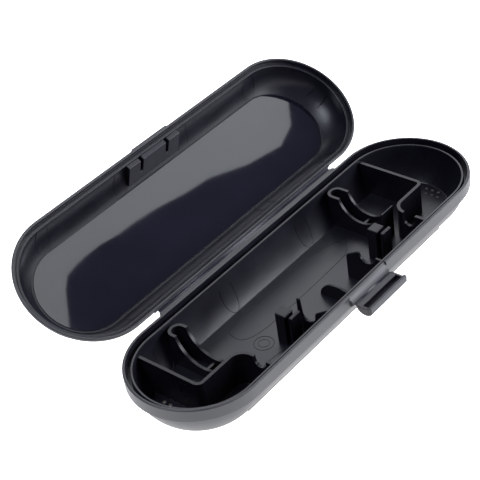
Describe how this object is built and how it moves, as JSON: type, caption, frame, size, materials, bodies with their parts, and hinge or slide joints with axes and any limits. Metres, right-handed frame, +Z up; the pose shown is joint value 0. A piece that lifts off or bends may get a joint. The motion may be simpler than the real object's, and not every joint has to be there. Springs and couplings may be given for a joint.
{
  "type": "toothbrush travel case",
  "caption": "Long oval two-shell travel case for an electric toothbrush, hinged open, with handle cradles, spare-head clips and a snap latch.",
  "frame": {"origin": "centre of the flat underside of the base shell", "axes": "+X along the case towards the end with the smaller handle cradle, +Y towards the lid hinge, +Z up out of the base; the lid rests open 147 degrees"},
  "size_m": [0.208, 0.1295, 0.0568],
  "materials": {
    "black_shell": "satin black polypropylene, smooth inside, fine grain on rims",
    "black_film": "thin flexed polypropylene, slightly glossier than the shells",
    "gloss_panel": "mirror-smooth black"
  },
  "bodies": {
    "base": {"base_tray": "black_shell", "base_rim": "black_shell", "base_hinge_flange": "black_shell", "left_end_partition": "black_shell", "right_end_partition": "black_shell", "left_handle_cradle": "black_shell", "right_handle_cradle": "black_shell", "left_head_post": "black_shell", "left_head_bar": "black_shell", "right_head_post": "black_shell", "right_head_bar": "black_shell", "left_neck_fork": "black_shell", "right_neck_fork": "black_shell", "centre_arch": "black_shell", "latch_film": "black_film", "lid_film": "black_film"},
    "lid": {"lid_hinge_flange": "black_shell", "lid_rim": "black_shell", "lid_cover": "black_shell", "lid_panel": "gloss_panel", "lid_keeper_box": "black_shell", "lid_keeper_bead": "black_shell"},
    "latch": {"latch_plate": "black_shell", "latch_hook": "black_shell"}
  },
  "joints": [
    {"name": "lid_hinge", "type": "hinge", "parent": "base", "child": "lid", "pos_m": [0, 0.0326, 0.0222], "axis": [1, 0, 0], "range_deg": [-33, 147], "deforming": ["lid_film"]},
    {"name": "latch_hinge", "type": "hinge", "parent": "base", "child": "latch", "pos_m": [0, -0.0328, 0.01855], "axis": [1, 0, 0], "range_deg": [-90, 30], "deforming": ["latch_film"]}
  ]
}
